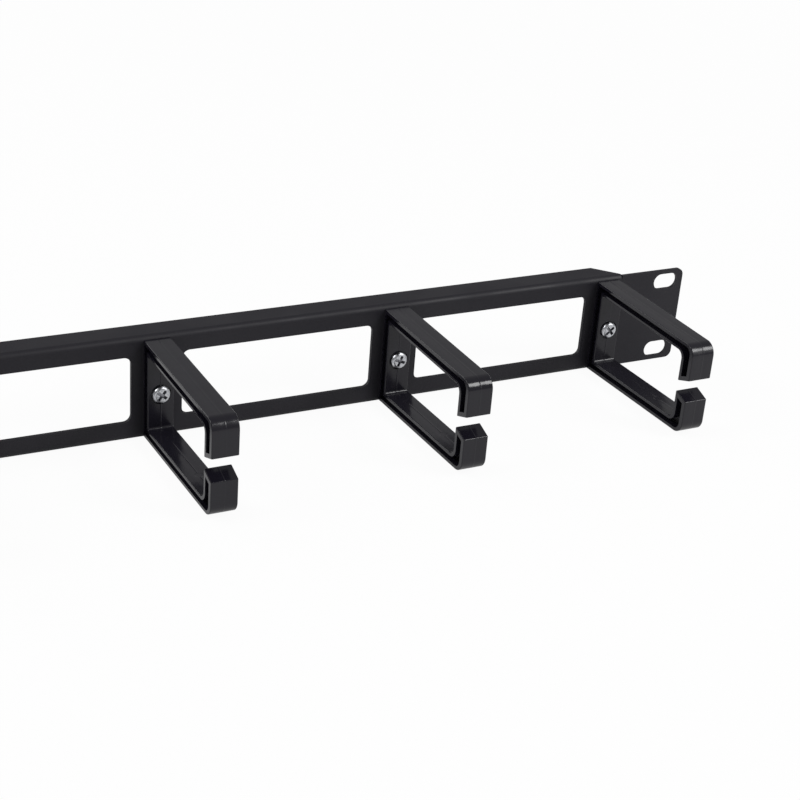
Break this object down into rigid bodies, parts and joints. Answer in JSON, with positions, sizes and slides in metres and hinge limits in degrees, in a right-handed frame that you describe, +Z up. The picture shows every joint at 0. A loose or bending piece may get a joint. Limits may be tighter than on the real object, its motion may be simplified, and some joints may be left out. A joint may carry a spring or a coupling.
{
  "type": "horizontal cable manager",
  "caption": "Folded one-unit rack panel with slotted ears, oblong windows and open-fronted cable rings, for dressing patch cables across a 19 inch rack.",
  "frame": {"origin": "middle of the four rack slots, on the rear face of the ears, which seats on the rack's rails", "axes": "+X along the panel, +Y into the rack, +Z up; the rings reach towards -Y"},
  "size_m": [0.4826, 0.0815, 0.0426],
  "materials": {
    "powder_coat": "satin black powder coat on steel sheet",
    "ring_plastic": "glossy black moulded plastic",
    "zinc_plate": "bright zinc plate"
  },
  "bodies": {
    "root": {"panel": "powder_coat", "far_left_ring": "ring_plastic", "far_left_screw": "zinc_plate", "far_left_washer": "zinc_plate", "far_left_nut": "zinc_plate", "left_ring": "ring_plastic", "left_screw": "zinc_plate", "left_washer": "zinc_plate", "left_nut": "zinc_plate", "middle_ring": "ring_plastic", "middle_screw": "zinc_plate", "middle_washer": "zinc_plate", "middle_nut": "zinc_plate", "right_ring": "ring_plastic", "right_screw": "zinc_plate", "right_washer": "zinc_plate", "right_nut": "zinc_plate", "far_right_ring": "ring_plastic", "far_right_screw": "zinc_plate", "far_right_washer": "zinc_plate", "far_right_nut": "zinc_plate"}
  },
  "joints": []
}
